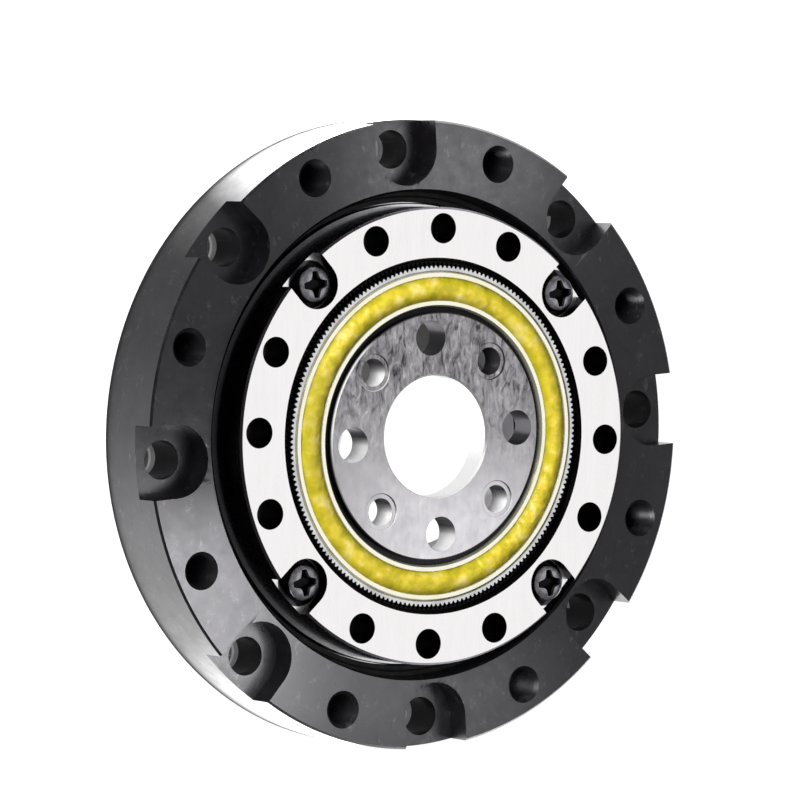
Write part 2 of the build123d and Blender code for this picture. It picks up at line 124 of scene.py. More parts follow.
# %% Helpers for turned and milled shapes
def lathe(name, levels, sides=256, turn=0.0):
    """Sweeps a circle through levels of (radius, height) or (long, short, height)."""
    levels = [level if len(level) == 3 else (level[0], level[0], level[1]) for level in levels]
    long_r, short_r, z = levels[0]
    bpy.ops.object.select_all(action="DESELECT")
    bpy.ops.mesh.primitive_circle_add(vertices=sides, radius=1.0, location=(0, 0, 0))
    obj = bpy.context.object
    obj.name = name
    bpy.ops.object.mode_set(mode="EDIT")
    bpy.ops.mesh.select_all(action="SELECT")
    bpy.ops.transform.resize(value=(long_r, short_r, 1), center_override=(0, 0, 0))
    bpy.ops.transform.translate(value=(0, 0, z))
    for old, new in zip(levels, levels[1:] + levels[:1]):
        bpy.ops.mesh.extrude_edges_move()
        grow = (new[0] / old[0], new[1] / old[1], 1)
        bpy.ops.transform.resize(value=grow, center_override=(0, 0, 0))
        bpy.ops.transform.translate(value=(0, 0, new[2] - old[2]))
    bpy.ops.mesh.select_all(action="SELECT")
    bpy.ops.mesh.remove_doubles(threshold=0.0005)
    bpy.ops.object.mode_set(mode="OBJECT")
    rotate(face_outwards(obj), turn)
    return obj


def prism(name, outline, bottom, top):
    """Stands a flat outline of (x, y) points up from one height to another."""
    obj = new_piece(name, [(x, y, bottom) for x, y in outline], [list(range(len(outline)))])
    bpy.ops.object.mode_set(mode="EDIT")
    bpy.ops.mesh.select_all(action="SELECT")
    bpy.ops.mesh.extrude_region_move(TRANSFORM_OT_translate={"value": (0, 0, top - bottom)})
    bpy.ops.object.mode_set(mode="OBJECT")
    return face_outwards(obj)


def open_pocket(radius, reach, bottom, top, step):
    """A pocket that ends in half a circle and opens outwards, as a mill leaves it."""
    arc = [(radius * cos(radians(a)), radius * sin(radians(a))) for a in range(90, 271, step)]
    return prism("pocket", [(reach, radius)] + arc + [(reach, -radius)], bottom, top)


print("lathe and mill ready")

# %% [markdown]
# Holes and pockets come in circles, so the same cutter is made for each place on the circle,
# and a boolean takes all of them away from the piece at once. Last the edges are broken a
# little. No machined edge is truly sharp, and the narrow bevel catches light and shows it.


# %% Helpers that place, join and cut
def place(obj, radius, degrees):
    """Moves obj out to a radius and round to an angle, and keeps the place in its mesh."""
    only(obj)
    obj.matrix_world = Matrix.Rotation(radians(degrees), 4, "Z") @ Matrix.Translation((radius, 0, 0))
    bpy.ops.object.transform_apply(location=True, rotation=True, scale=True)
    return obj


def ring_of(make, radius, degrees):
    """Copies of one shape at one radius and these angles."""
    return [place(make(), radius, angle) for angle in degrees]


def join(pieces, name):
    """Joins pieces into one object."""
    only(pieces[0])
    for piece in pieces[1:]:
        piece.select_set(True)
    if len(pieces) > 1:
        bpy.ops.object.join()
    bpy.context.object.name = name
    return bpy.context.object


def apply_modifier(obj, kind, **settings):
    """Adds a modifier with these settings and applies it."""
    only(obj)
    modifier = obj.modifiers.new(kind.title(), kind)
    for key, value in settings.items():
        setattr(modifier, key, value)
    bpy.ops.object.modifier_apply(modifier=modifier.name)
    return obj


def cut(obj, cutters):
    """Takes the cutters away from obj."""
    tool = join(cutters, "cutter")
    apply_modifier(obj, "BOOLEAN", operation="DIFFERENCE", object=tool, solver="EXACT")
    bpy.data.objects.remove(tool)
    return obj


def break_edges(obj, width, segments=1, angle=50):
    """Takes the sharpness off every sharp edge, as a deburring tool does."""
    limit = {"limit_method": "ANGLE", "angle_limit": radians(angle)}
    return apply_modifier(obj, "BEVEL", width=width, segments=segments, **limit)


def steps(first, step, count):
    """Evenly spaced angles in degrees."""
    return [first + step * k for k in range(count)]


print("cutting ready")

# %% [markdown]
# A tapped hole is not a plain cylinder: its wall catches light on every thread. The cutter
# for it is a stack of shallow cones, close enough to a thread at this size. Its mouth is the
# countersink that a tap needs to start in, or a plain bore as deep as mouth_depth.


# %% A cutter for tapped holes
def tap_cutter(mouth_r, drill_r, depth, top, pitch=0.5, mouth_depth=None, sides=48):
    """A hole with a countersunk or stepped mouth and threads below it."""
    groove = pitch * 0.45
    edge = 0.05
    if mouth_depth is None:
        z = top - (mouth_r - drill_r)
        levels = [(0.001, top + 1), (mouth_r, top + 1), (mouth_r, top)]
    else:
        z = top - mouth_depth
        levels = [(0.001, top + 1), (mouth_r + edge, top + 1), (mouth_r + edge, top)]
        levels += [(mouth_r, top - edge), (mouth_r, z)]
    levels.append((drill_r, z))
    while z - pitch > top - depth:
        levels.append((drill_r + groove, z - pitch / 2))
        levels.append((drill_r, z - pitch))
        z -= pitch
    levels += [(drill_r, top - depth), (0.001, top - depth - drill_r * 0.6)]
    return lathe("tap", levels, sides)


def drill(radius, bottom, top, sides=64):
    """A plain round cutter."""
    bpy.ops.object.select_all(action="DESELECT")
    middle = (0, 0, (bottom + top) / 2)
    bpy.ops.mesh.primitive_cylinder_add(
        vertices=sides, radius=radius, depth=top - bottom, location=middle
    )
    bpy.ops.object.transform_apply(location=True, rotation=True, scale=True)
    return bpy.context.object


print("tap and drill ready")

# %% [markdown]
# The big black ring is turned from one bar: chamfered rims, a V groove for the rollers and
# a recess at the back for the flange of the thin hat. Eight pockets are milled through the
# rim for screw heads, with tapped holes half way between them.

# %% Outer ring
POCKET_R = 3.0
POCKET_Z = 4.85  # floor of the pockets
ring_profile = [
    (20.1, 1.2), (20.1, 1.61), (21.44, GROOVE_Z), (20.1, 4.29), (20.1, 7.0), (20.3, RING_TOP_Z),
    (25.82, RING_TOP_Z), (RING_R, 7.02), (RING_R, 0.2), (25.8, 0.0), (24.91, 0.0), (24.91, 1.2),
]
outer_ring = lathe("outer_ring_fine", ring_profile, 288)
pocket_angles = steps(RING_TURN, 45, 8)


def rim_pocket():
    """One pocket, up from its floor and out through the rim."""
    return open_pocket(POCKET_R, 4, POCKET_Z, RING_TOP_Z + 1, 6)


cut(outer_ring, ring_of(rim_pocket, BOLT_R, pocket_angles))
cut(outer_ring, ring_of(lambda: drill(1.6, -1, 8), BOLT_R, pocket_angles))
flange_angles = steps(FLANGE_TURN, 90, 4)
cut(outer_ring, ring_of(lambda: drill(1.01, -1, 4.01, 32), FLANGE_R, flange_angles))
print("outer ring with its pockets", len(outer_ring.data.polygons), "faces")

# %% [markdown]
# The rollers go in through a hole in the rim, which a plug and a pin close. Those two stay CAD
# nodes, and their holes are drilled here: one along the radius, one up from the back recess.
# The taps are cut after the edges are broken, so that their threads stay crisp.

# %% Filling hole and tapped holes of the outer ring
plug_hole = drill(1.46, 0, 8)
plug_hole.matrix_world = (
    Matrix.Rotation(radians(PLUG_TURN), 4, "Z")
    @ Matrix.Translation((19, 0, GROOVE_Z))
    @ Matrix.Rotation(radians(90), 4, "Y")
)
cut(outer_ring, [plug_hole])
cut(outer_ring, ring_of(lambda: drill(0.51, 1.1, 5.21, 32), BOLT_R, [PLUG_TURN]))
break_edges(outer_ring, 0.06)
tap_angles = steps(RING_TURN + 22.5, 45, 8)
cut(outer_ring, ring_of(lambda: tap_cutter(1.56, 1.25, 4.5, RING_TOP_Z), BOLT_R, tap_angles))
print("outer ring", len(outer_ring.data.polygons), "faces")

# %% [markdown]
# The teeth are what makes this gear. A loop of points goes round the ring, a few for each
# tooth, and every level of the piece has its own loop, so teeth, chamfers and the round
# outside are one clean skin. The hat's teeth also follow the oval that the hub gives them.


# %% Loops, skins and teeth
def skin(name, loops):
    """Skins loops with the same number of points into one closed ring."""
    count = len(loops[0])
    points = [point for loop in loops for point in loop]
    faces = []
    for level in range(len(loops)):
        a = level * count
        b = (level + 1) % len(loops) * count
        for k in range(count):
            n = (k + 1) % count
            faces.append((a + k, a + n, b + n, b + k))
    return face_outwards(new_piece(name, points, faces))


TOOTH_PHASES = (-0.5, -0.36, -0.22, -0.1, 0.1, 0.22, 0.36)  # points over one pitch
TOOTH_FLANK = 2.4  # a higher value makes the flanks steeper


def toothed(teeth, low_r, high_r, z, wave=0.0):
    """A loop with a rounded tooth on every pitch, which reaches from low_r to high_r."""
    loop = []
    for k in range(teeth):
        for phase in TOOTH_PHASES:
            angle = 2 * pi * (k + phase) / teeth
            crest = 0.5 + 0.5 * tanh(TOOTH_FLANK * cos(2 * pi * phase)) / tanh(TOOTH_FLANK)
            loop.append(spread(low_r + (high_r - low_r) * crest, angle, z, wave))
    return loop


def spread(radius, angle, z, wave):
    """A point of the ring, pushed out along the long axis by the wave and slid with it."""
    pushed = radius + wave * cos(2 * angle)
    turned = angle - wave / (2 * radius) * sin(2 * angle) + radians(WAVE_TURN)
    return (pushed * cos(turned), pushed * sin(turned), z)


def plain(teeth, radius, z, wave=0.0):
    """A smooth loop with as many points as a toothed one."""
    return toothed(teeth, radius, radius, z, wave)


print("points on a toothed loop:", FLEX_TEETH * len(TOOTH_PHASES))

# %% [markdown]
# The circular spline is the bright output ring. Its 202 internal teeth point inwards, so the
# crest of the loop is the root of the gap. A narrow chamfer stands above the teeth. Twelve
# holes are tapped, and four open pockets take the screws that hold it to the bearing.

# %% Circular spline
SCREW_Z = 8.2  # floor of the screw pockets
spline_levels = ((18.85, 5.3), (18.85, 9.22), (18.67, FRONT_Z), (14.68, FRONT_Z), (14.4, 9.12),
                 (14.38, 8.86))
spline_loops = [plain(SPLINE_TEETH, radius, z) for radius, z in spline_levels]
spline_loops += [toothed(SPLINE_TEETH, 14.05, 14.33, z) for z in (8.85, 5.3)]
circular_spline = skin("circular_spline_fine", spline_loops)
screw_angles = steps(45, 90, 4)
output_angles = [a for a in steps(0, 22.5, 16) if a not in screw_angles]


def output_tap():
    """An output hole right through the ring, plain at first and threaded at its far end."""
    return tap_cutter(1.2, 1.03, 4.6, FRONT_Z, 0.4, 3.6)


cut(circular_spline, ring_of(output_tap, OUTPUT_R, output_angles))
cut(circular_spline, ring_of(lambda: open_pocket(2.0, 3, SCREW_Z, 10, 9), OUTPUT_R, screw_angles))
cut(circular_spline, ring_of(lambda: drill(0.9, 5, 9, 40), OUTPUT_R, screw_angles))
print("circular spline", len(circular_spline.data.polygons), "faces")

# %% [markdown]
# The flexspline is a thin steel hat. Its rim has 200 teeth outside and is oval, its barrel
# turns from oval to round towards the back, and its brim is a thin diaphragm with a thick
# flange. The corner radius, too fine for the CAD model, is added here.

# %% Flexspline
BEND_R = 14.58  # radius at which the bend between barrel and diaphragm has its centre
rim = ((13.82, 14.05, 5.2), (13.82, 14.05, 9.2), (13.80, 14.0, 9.25))
hat_loops = [toothed(FLEX_TEETH, low_r, high_r, z, WAVE) for low_r, high_r, z in rim]
inside = ((13.62, 9.25, WAVE), (13.58, 9.21, WAVE), (13.58, 5.2, WAVE), (13.58, 3.3, WAVE / 2),
          (13.58, 1.3, 0.0))
hat_loops += [plain(FLEX_TEETH, radius, z, wave) for radius, z, wave in inside]
for a in range(0, 91, 15):
    hat_loops.append(plain(FLEX_TEETH, BEND_R - cos(radians(a)), 1.25 - sin(radians(a))))
flange = ((19.15, 0.25), (19.2, 0.2), (19.2, 0.03), (19.23, 0.0), (24.85, 0.0), (24.9, 0.05),
          (24.9, 1.2), (20.8, 1.2), (20.0, 0.5))
hat_loops += [plain(FLEX_TEETH, radius, z) for radius, z in flange]
for a in range(90, -1, -15):
    hat_loops.append(plain(FLEX_TEETH, BEND_R - 0.8 * cos(radians(a)), 1.3 - 0.8 * sin(radians(a))))
hat_loops += [plain(FLEX_TEETH, 13.78, 3.3, WAVE / 2), plain(FLEX_TEETH, 13.78, 5.15, WAVE)]
flexspline = skin("flexspline_fine", hat_loops)


def countersink():
    """The cutter for a countersunk screw from the back."""
    levels = [(0.001, -1), (1.76, -1), (1.76, 0), (1.01, 0.75), (1.01, 3), (0.001, 3)]
    return lathe("countersink", levels, 48)


cut(flexspline, ring_of(lambda: drill(1.7, -1, 2, 48), BOLT_R, pocket_angles))
cut(flexspline, ring_of(countersink, FLANGE_R, flange_angles))
print("flexspline", len(flexspline.data.polygons), "faces")

# %% [markdown]
# The flexible bearing is two thin oval races with balls between them. The races are turned
# with rounded edges, because those edges are the two cream lines beside the grease. The
# balls become true spheres here.

# %% Races and balls
BALL_R = 1.05
BALL_Z = 7.2
BALL_PATH_R = 12.089  # radius of the ball centres
BALLS = 23


def oval(radius, z):
    """A level whose long axis is the wave generator's."""
    return (radius + WAVE, radius - WAVE, z)


def race(name, seat_r, lip_r, groove_r):
    """A race with a rounded groove between its lips."""
    levels = [oval(seat_r, 5.15), oval(seat_r, 9.08), oval(seat_r + (lip_r - seat_r) * 0.3, 9.3)]
    levels += [oval(lip_r - (lip_r - seat_r) * 0.1, 9.3), oval(lip_r, 9.25), oval(lip_r, 8.15)]
    for a in (60, 40, 20, 0, -20, -40, -60):
        depth = (groove_r - lip_r) * (cos(radians(a)) - 0.5) * 2
        levels.append(oval(lip_r + depth, BALL_Z + BALL_R * sin(radians(a))))
    levels += [oval(lip_r, 6.25), oval(lip_r, 5.15), oval(lip_r - (lip_r - seat_r) * 0.1, 5.1)]
    levels.append(oval(seat_r + (lip_r - seat_r) * 0.1, 5.1))
    return lathe(name, levels, turn=WAVE_TURN)


outer_race = race("bearing_outer_race_fine", 13.569, 13.03, 13.32)
inner_race = race("bearing_inner_race_fine", 10.608, 11.14, 10.86)


def bearing_ball():
    """One ball of the flexible bearing."""
    bpy.ops.object.select_all(action="DESELECT")
    bpy.ops.mesh.primitive_uv_sphere_add(
        segments=24, ring_count=12, radius=BALL_R, location=(0, 0, BALL_Z)
    )
    bpy.ops.object.transform_apply(location=True, rotation=True, scale=True)
    return bpy.context.object


ball_angles = steps(0, 360 / BALLS, BALLS)
balls = join(ring_of(bearing_ball, BALL_PATH_R, ball_angles), "bearing_balls_fine")
print("balls", len(balls.data.polygons), "faces")

# %% [markdown]
# Grease is packed between the races and stands a little proud of them in lumps. A bead with
# a round top is swept round first. Then two displace modifiers push it in and out, one with
# broad waves from the spatula and one with small lumps.

# %% Grease
GREASE_IN, GREASE_OUT = 10.98, 13.2
EDGE_Z, CROWN = 8.96, 0.6  # height of the bead's edge, and of its top above that
BEAD_STEPS = 14
bead = []
for k in range(BEAD_STEPS + 1):
    share = k / BEAD_STEPS
    radius = GREASE_IN + (GREASE_OUT - GREASE_IN) * share
    bead.append(oval(radius, EDGE_Z + CROWN * sin(pi * share) ** 0.75))
bead += [oval(GREASE_OUT - 0.02, 8.8), oval(12.95, 8.45)]
bead += [oval(11.22, 8.45), oval(GREASE_IN + 0.02, 8.8)]
grease = lathe("bearing_grease_fine", bead, 720, WAVE_TURN)
top_points = grease.vertex_groups.new(name="top")
high = [v.index for v in grease.data.vertices if v.co.z > 9.1]
top_points.add(high, 1.0, "REPLACE")
for name, size, strength in (("broad", 1.6, 0.16), ("small", 0.45, 0.12)):
    lumps = bpy.data.textures.new(name, "CLOUDS")
    lumps.noise_scale = size
    lumps.noise_depth = 2
    apply_modifier(
        grease, "DISPLACE", texture=lumps, strength=strength, mid_level=0.55, vertex_group="top"
    )
print("grease", len(grease.data.polygons), "faces")

# %% [markdown]
# The hub is the oval plug of the wave generator. Its seat carries the inner race, a smaller
# boss makes the front face, and the web behind it has four plain and four tapped holes. The
# tapped ones have a mouth a little wider than the thread, which shows as a step of light.

# %% Wave generator hub
hub_levels = [oval(10.97, 4.6), oval(11.0, 4.65), oval(11.0, 5.1), oval(10.59, 5.1),
              oval(10.59, 8.86), oval(10.55, 8.9), oval(10.15, 8.9), oval(10.15, 9.33),
              oval(10.07, 9.4), (5.15, 9.4), (5.0, 9.25), (5.0, 7.1), (5.1, 7.0),
              (9.45, 7.0), (9.49, 6.9), (9.49, 4.6)]
hub = lathe("generator_hub_fine", hub_levels, turn=WAVE_TURN)
cut(hub, ring_of(lambda: drill(1.45, 6.98, 10), HUB_HOLE_R, steps(RING_TURN, 90, 4)))
break_edges(hub, 0.05)


def hub_tap():
    """A tapped hole of the hub, with its short wide mouth."""
    return tap_cutter(1.5, 1.15, 3.2, FRONT_Z, 0.45, 0.12)


cut(hub, ring_of(hub_tap, HUB_HOLE_R, steps(WAVE_TURN, 90, 4)))
print("hub", len(hub.data.polygons), "faces")

# %% [markdown]
# The screws are small, but they sit in the brightest ring and draw the eye. Each has a
# domed pan head, a cross recess with sloping walls and a shank down into the inner ring. The
# middle of the cross is wide and its arms are short.

# %% Screws
CROSS_ARM = ((1.0, -12), (1.0, 12), (0.62, 30), (0.55, 45), (0.62, 60))  # share of reach, degrees
CROSS_TAPER = 0.6
CROSS_TURN = 53


def cross_cutter(reach, top, depth):
    """A cross with flared arms that narrows towards its point."""
    outline = []
    for arm in steps(0, 90, 4):
        for share, turn in CROSS_ARM:
            outline.append((reach * share * cos(radians(arm + turn)),
                            reach * share * sin(radians(arm + turn))))
    cross = prism("cross", outline, top + depth, top - depth)
    bpy.ops.object.mode_set(mode="EDIT")
    bpy.ops.mesh.select_all(action="DESELECT")
    bpy.ops.object.mode_set(mode="OBJECT")
    for vertex in cross.data.vertices:
        vertex.select = abs(vertex.co.z - (top - depth)) < 0.001
    bpy.ops.object.mode_set(mode="EDIT")
    bpy.ops.transform.resize(value=(CROSS_TAPER, CROSS_TAPER, 1), center_override=(0, 0, 0))
    bpy.ops.object.mode_set(mode="OBJECT")
    return face_outwards(cross)


def pan_screw():
    """A pan head screw that stands in its pocket."""
    levels = [(0.001, 2.7), (0.6, 2.7), (0.8, 2.95), (0.8, SCREW_Z), (1.42, SCREW_Z), (1.5, 8.28),
              (1.5, 8.85), (1.42, 9.05), (1.2, 9.2), (0.8, 9.28), (0.001, 9.3)]
    screw = lathe("screw", levels, 48)
    cut(screw, [cross_cutter(1.46, 9.3, 0.8)])
    break_edges(screw, 0.04)
    rotate(screw, CROSS_TURN)
    return screw


def flat_screw():
    """A countersunk screw of the flange, with a cross recess at the back face."""
    levels = [(0.001, 0.0), (1.7, 0.0), (1.75, 0.05), (1.0, 0.77), (1.0, 4.0), (0.001, 4.0)]
    screw = lathe("screw", levels, 48)
    cut(screw, [cross_cutter(1.5, 0.0, -0.7)])
    return screw


spline_screws = join(ring_of(pan_screw, OUTPUT_R, screw_angles), "spline_screws_fine")
flange_screws = join(ring_of(flat_screw, FLANGE_R, flange_angles), "flange_screws_fine")
print("screws", len(spline_screws.data.polygons), "faces")

# %% [markdown]
# The seal sits in the dark gap between the black ring and the bright one. Under it the
# inner ring shows its ground top edge, which is the thin bright crescent beside the gap.

# %% Seal and inner ring
seal_profile = [(20.09, 4.45), (20.09, 5.1), (19.75, 5.1), (19.6, 5.0), (19.25, 5.02),
                (19.2, 4.9), (19.35, 4.7), (19.6, 4.45)]
seal = lathe("oil_seal_fine", seal_profile, 192)
inner_profile = [(14.9, 1.65), (14.95, 1.6), (19.8, 1.6), (19.9, 1.7), (19.9, 1.71),
                 (18.56, GROOVE_Z), (19.9, 4.19), (19.9, 4.35), (19.13, 4.35), (19.13, 5.22),
                 (19.05, 5.3), (14.9, 5.3)]
inner_ring = lathe("inner_ring_fine", inner_profile)
cut(inner_ring, ring_of(lambda: drill(0.81, 2.69, 6, 32), OUTPUT_R, screw_angles))
print("seal and inner ring made")

# %% [markdown]
# Each piece now rides on its body, stands for its CAD node and takes that node's slot. It is
# scaled from millimetres to metres here, and its round faces are smoothed while the edges
# that a machinist would call sharp stay sharp.

# %% Hand the pieces to the frame
fine = {
    "outer_ring": (outer_ring, "housing"),
    "circular_spline": (circular_spline, "output"),
    "flexspline": (flexspline, "housing"),
    "bearing_outer_race": (outer_race, "housing"),
    "bearing_inner_race": (inner_race, "wave_generator"),
    "bearing_balls": (balls, "ball_set"),
    "bearing_grease": (grease, "ball_set"),
    "generator_hub": (hub, "wave_generator"),
    "spline_screws": (spline_screws, "output"),
    "flange_screws": (flange_screws, "housing"),
    "oil_seal": (seal, "housing"),
    "inner_ring": (inner_ring, "output"),
}
slot_of = {part["node"]: part["material_slot"] for part in frame["record"]["subparts"]}
for node, (piece, body) in fine.items():
    only(piece)
    piece.scale = (MM, MM, MM)
    bpy.ops.object.transform_apply(location=True, rotation=True, scale=True)
    bpy.ops.object.shade_smooth_by_angle(angle=radians(28))
    apply_modifier(piece, "WEIGHTED_NORMAL", keep_sharp=True, weight=80)
    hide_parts(node)
    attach(piece, body)
print("pieces placed:", len(fine))

# %% [markdown]
# Every finish is a procedural node material. Patterns are written in real millimetres: the
# object coordinates are metres, so a feature of s millimetres needs a scale of 1000 / s. Small
# helpers add the nodes, because the same few kinds are used over and over.


# %% Helpers for nodes
def linear(hex_code):
    """The linear colour of an sRGB code such as 8c8b90."""
    values = [int(hex_code[i:i + 2], 16) / 255 for i in (0, 2, 4)]
    return tuple(v / 12.92 if v <= 0.04045 else ((v + 0.055) / 1.055) ** 2.4 for v in values) + (1,)


def add(tree, kind, sockets=None, **settings):
    """Adds a node. A socket's value is either another node's socket, to link, or a constant."""
    node = tree.nodes.new(kind)
    for name, value in settings.items():
        if hasattr(node, name):
            setattr(node, name, value)
        else:
            node.inputs[name.replace("_", " ")].default_value = value
    for name, value in (sockets or {}).items():
        if isinstance(value, bpy.types.NodeSocket):
            tree.links.new(value, node.inputs[name])
        else:
            node.inputs[name].default_value = value
    return node


def drive(tree, shader, **sockets):
    """Links these sockets to the surface node's inputs."""
    for name, socket in sockets.items():
        tree.links.new(socket, shader.inputs[name.replace("_", " ")])


def math(tree, operation, *values):
    """Arithmetic on sockets and numbers."""
    return add(tree, "ShaderNodeMath", dict(enumerate(values)), operation=operation).outputs[0]


def mix(tree, factor, first, second):
    """The first colour where the factor is 0 and the second where it is 1."""
    sockets = {"Factor": factor, "A": first, "B": second}
    return add(tree, "ShaderNodeMix", sockets, data_type="RGBA").outputs["Result"]


print("node helpers ready")

# %% [markdown]
# These helpers measure where a point of the surface lies. A mask made from such a measure
# gives one part of a piece, such as a bore or a corner, its own colour without cutting the mesh.


# %% Helpers that measure and mask
def part_of(tree, vector, axis):
    """The X, Y or Z of a vector."""
    return add(tree, "ShaderNodeSeparateXYZ", {"Vector": vector}).outputs[axis]


def from_axis(tree, coords):
    """The distance from the gear's axis, in metres."""
    flat = add(tree, "ShaderNodeVectorMath", {0: coords, 1: (1, 1, 0)}, operation="MULTIPLY")
    length = add(tree, "ShaderNodeVectorMath", {0: flat.outputs[0]}, operation="LENGTH")
    return length.outputs["Value"]


def distance(tree, coords, point):
    """The distance from a point, in metres."""
    node = add(tree, "ShaderNodeVectorMath", {0: coords, 1: point}, operation="DISTANCE")
    return node.outputs["Value"]


def remap(tree, factor, low, high, start_at=0.3, stop_at=0.7):
    """Values from start_at to stop_at, spread to low to high and held there beyond."""
    settings = {"From_Min": start_at, "From_Max": stop_at, "To_Min": low, "To_Max": high}
    return add(tree, "ShaderNodeMapRange", {"Value": factor}, **settings).outputs["Result"]


def beyond(tree, measure, start_mm, stop_mm):
    """A mask that rises from 0 to 1 between two lengths."""
    return remap(tree, measure, 0.0, 1.0, start_mm * MM, stop_mm * MM)


def within(tree, measure, start_mm, stop_mm):
    """A mask that falls from 1 to 0 between two lengths."""
    return remap(tree, measure, 1.0, 0.0, start_mm * MM, stop_mm * MM)


print("masks ready")

# %% [markdown]
# No finish is one flat colour. Noise drifts between two tones and two roughnesses, which is
# what tells metal, rubber and plastic from paint. A simple finish is made in one call.


# %% Helpers for finishes
def start(name, **surface):
    """A new material: its tree, its surface node and the object coordinates."""
    material = bpy.data.materials.new(name)
    material.use_nodes = True
    tree = material.node_tree
    tree.nodes.clear()
    output = add(tree, "ShaderNodeOutputMaterial")
    shader = add(tree, "ShaderNodeBsdfPrincipled", **surface)
    tree.links.new(shader.outputs[0], output.inputs["Surface"])
    coords = add(tree, "ShaderNodeTexCoord").outputs["Object"]
    return material, tree, shader, coords


def noise(tree, coords, size_mm, detail=4.0, roughness=0.55, stretch=None, turn=0, swirl=0.0):
    """Noise whose features are about size_mm across, and longer where stretch is below 1."""
    if stretch:
        laid = {"Vector": coords, "Rotation": (0, 0, radians(turn)), "Scale": stretch}
        coords = add(tree, "ShaderNodeMapping", laid).outputs[0]
    settings = {"Scale": 1000 / size_mm, "Detail": detail, "Roughness": roughness}
    return add(tree, "ShaderNodeTexNoise", {"Vector": coords}, Distortion=swirl,
               **settings).outputs["Fac"]


def ramp(tree, factor, stops):
    """Colours at stops of (position, hex code or grey value)."""
    node = add(tree, "ShaderNodeValToRGB", {"Fac": factor})
    elements = node.color_ramp.elements
    for k, (position, tone) in enumerate(stops):
        element = elements[k] if k < 2 else elements.new(position)
        element.position = position
        element.color = linear(tone) if isinstance(tone, str) else (tone, tone, tone, 1)
    return node.outputs["Color"]


def bump(tree, shader, height, distance_mm, strength=1.0):
    """Small relief on a surface."""
    settings = {"Strength": strength, "Distance": distance_mm * MM}
    node = add(tree, "ShaderNodeBump", {"Height": height}, **settings)
    drive(tree, shader, Normal=node.outputs["Normal"])


def drifting(name, size_mm, detail, stops, shine, **surface):
    """A whole material whose colour and roughness drift in spots of size_mm."""
    material, tree, shader, coords = start(name, **surface)
    drift = noise(tree, coords, size_mm, detail)
    drive(tree, shader, Base_Color=ramp(tree, drift, stops), Roughness=remap(tree, drift, *shine))
    return material


print("finish helpers ready")

# %% [markdown]
# Black oxide is a thin dark layer on ground steel, oiled when new. The eye reads it by its
# cloudy satin sheen, so both the colour and the roughness drift over a few millimetres. Pale
# scuffs of handling lie over it, and a fine grain breaks the shine. The chamfer round the back
# lies in shadow and draws a dark line under the rim, so there the finish mirrors nothing.

# %% Black oxide
black_oxide, tree, shader, coords = start("black oxide on ground steel")
cloud = noise(tree, coords, 2.6, 8.0, 0.72)
oxide = ramp(tree, cloud, [(0.3, "121115"), (0.72, "232126")])
scuffs = remap(tree, noise(tree, coords, 0.9, 9.0, 0.8, (1.0, 0.55, 1.0)), 0.0, 0.55, 0.57, 0.78)
scuffed = mix(tree, scuffs, oxide, linear("7c7a80"))
satin = remap(tree, noise(tree, coords, 1.2, 7.0, 0.7), 0.24, 0.38)
above_back = beyond(tree, part_of(tree, coords, "Z"), 0.2, 0.32)
inside_rim = within(tree, from_axis(tree, coords), 25.6, 25.7)
off_corner = math(tree, "MAXIMUM", above_back, inside_rim)
drive(tree, shader, Base_Color=scuffed, Roughness=satin,
      Specular_IOR_Level=remap(tree, off_corner, 0.0, 0.4, 0.0, 1.0),
      Metallic=remap(tree, off_corner, 0.0, 0.35, 0.0, 1.0))
bump(tree, shader, noise(tree, coords, 0.35, 4.0), 0.005, 0.5)
print("black oxide made")

# %% [markdown]
# The bright ring is lapped flat. It is nearly a mirror with a soft haze, so the soft light
# turns it almost white, and only a trace of grinding grain keeps it from looking like paint.
# Its holes, its outer wall, the chamfer above its teeth and the edges of its screw pockets
# are painted dark, as painted shade and a painted reflection of the dark gaps beside them.

# %% Bright steel
bright_steel, tree, shader, coords = start("ground and lapped bright steel", Metallic=1.0)
grain = noise(tree, coords, 0.6, 6.0, 0.7, (1.0, 0.12, 1.0))
lapped = ramp(tree, grain, [(0.3, "ebe9e9"), (0.7, "f8f6f6")])
wall = remap(tree, part_of(tree, coords.node.outputs["Normal"], "Z"), 1.0, 0.0, 0.72, 0.9)
radius = from_axis(tree, coords)
chamfer = within(tree, radius, 14.63, 14.66)
SCREW_XY = OUTPUT_R * MM / sqrt(2)  # the screws lie on the diagonals
quarter = add(tree, "ShaderNodeVectorMath", {0: coords}, operation="ABSOLUTE").outputs[0]
from_screw = distance(tree, quarter, (SCREW_XY, SCREW_XY, SCREW_Z * MM))
pocket_edge = within(tree, from_screw, 1.95, 2.02)
# Painted shade and painted reflection: the walls, the chamfer and the pocket edges get a dark
# colour, and the outer wall a lighter grey.
painted_shade = math(tree, "MAXIMUM", math(tree, "MAXIMUM", wall, chamfer), pocket_edge)
painted_shade_tone = mix(tree, beyond(tree, radius, 18.5, 18.6), linear("151416"), linear("434147"))
drive(tree, shader, Base_Color=mix(tree, painted_shade, lapped, painted_shade_tone),
      Roughness=remap(tree, grain, 0.24, 0.33))
print("bright steel made")

# %% [markdown]
# The hub is plain ground steel. The marks of the tool are strongest towards the top of the
# photograph, which is the gear's Y axis, so noise stretched into streaks is mixed in from the
# bottom up over a calmer tone.

# %% Ground steel, its face
ground_steel, tree, shader, coords = start("ground grey steel with tool marks")
calm_tone = ramp(tree, noise(tree, coords, 1.6, 5.0, 0.6), [(0.3, "9f9da1"), (0.7, "b5b3b6")])
marks = noise(tree, coords, 0.6, 9.0, 0.66, (1.0, 0.38, 1.0), turn=12, swirl=1.0)
MARK_TONES = [(0.36, "3f3d41"), (0.47, "807e82"), (0.6, "a9a7aa"), (0.72, "dddbdd")]
rough_side = remap(tree, part_of(tree, coords, "Y"), 0.12, 1.0, -3 * MM, 4 * MM)
face_tone = mix(tree, rough_side, calm_tone, ramp(tree, marks, MARK_TONES))
drive(tree, shader, Roughness=remap(tree, marks, 0.25, 0.42))
bump(tree, shader, marks, 0.008, 0.5)
print("ground face made")
